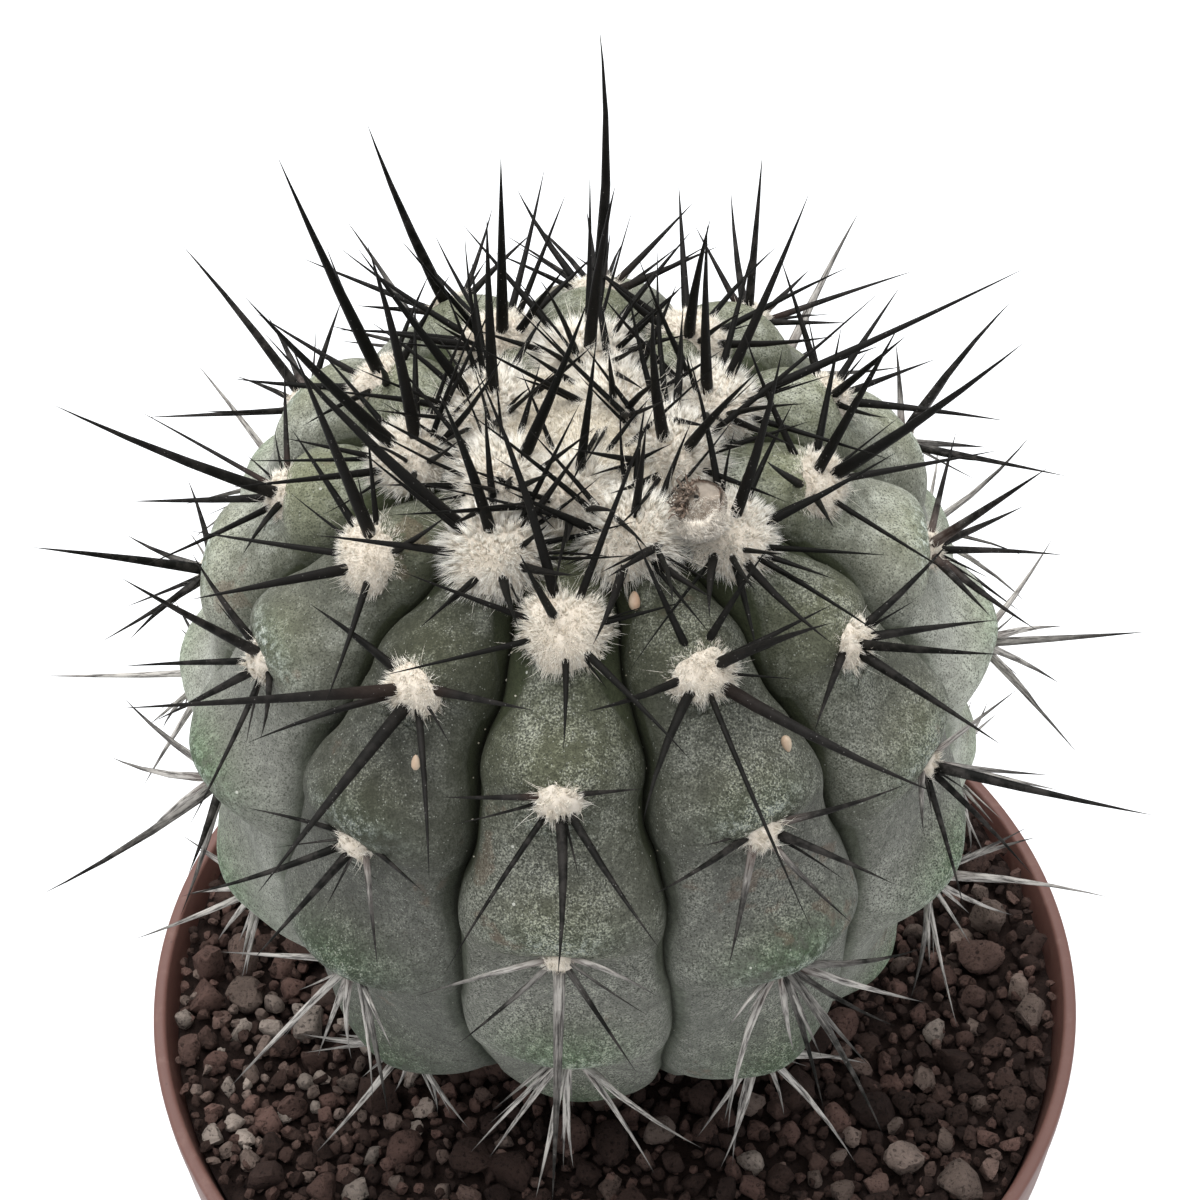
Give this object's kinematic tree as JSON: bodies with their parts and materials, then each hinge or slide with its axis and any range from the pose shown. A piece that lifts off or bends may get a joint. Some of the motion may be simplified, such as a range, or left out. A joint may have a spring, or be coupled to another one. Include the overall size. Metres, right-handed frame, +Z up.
{
  "type": "copiapoa cactus in a pot",
  "caption": "Squat ribbed globular cactus with woolly areoles and long stiff dark spines, planted in lava grit in a round tapered plant pot",
  "frame": {"origin": "middle of the pot's flat underside", "axes": "+Z up, -Y the front of the plant, +X to its right as seen from the front"},
  "size_m": [0.1279, 0.1239, 0.2191],
  "materials": {
    "pot": "thin moulded plastic, satin",
    "grit": "porous lava grains, dull",
    "stem": "waxy chalky skin, matt",
    "husk": "dry papery husk",
    "seed": "dry seed husk"
  },
  "bodies": {
    "root": {"pot": "pot", "potting_grit": "grit", "stem": "stem", "dried_pod": "husk", "seed_1": "seed", "seed_2": "seed", "seed_3": "seed"}
  },
  "joints": []
}
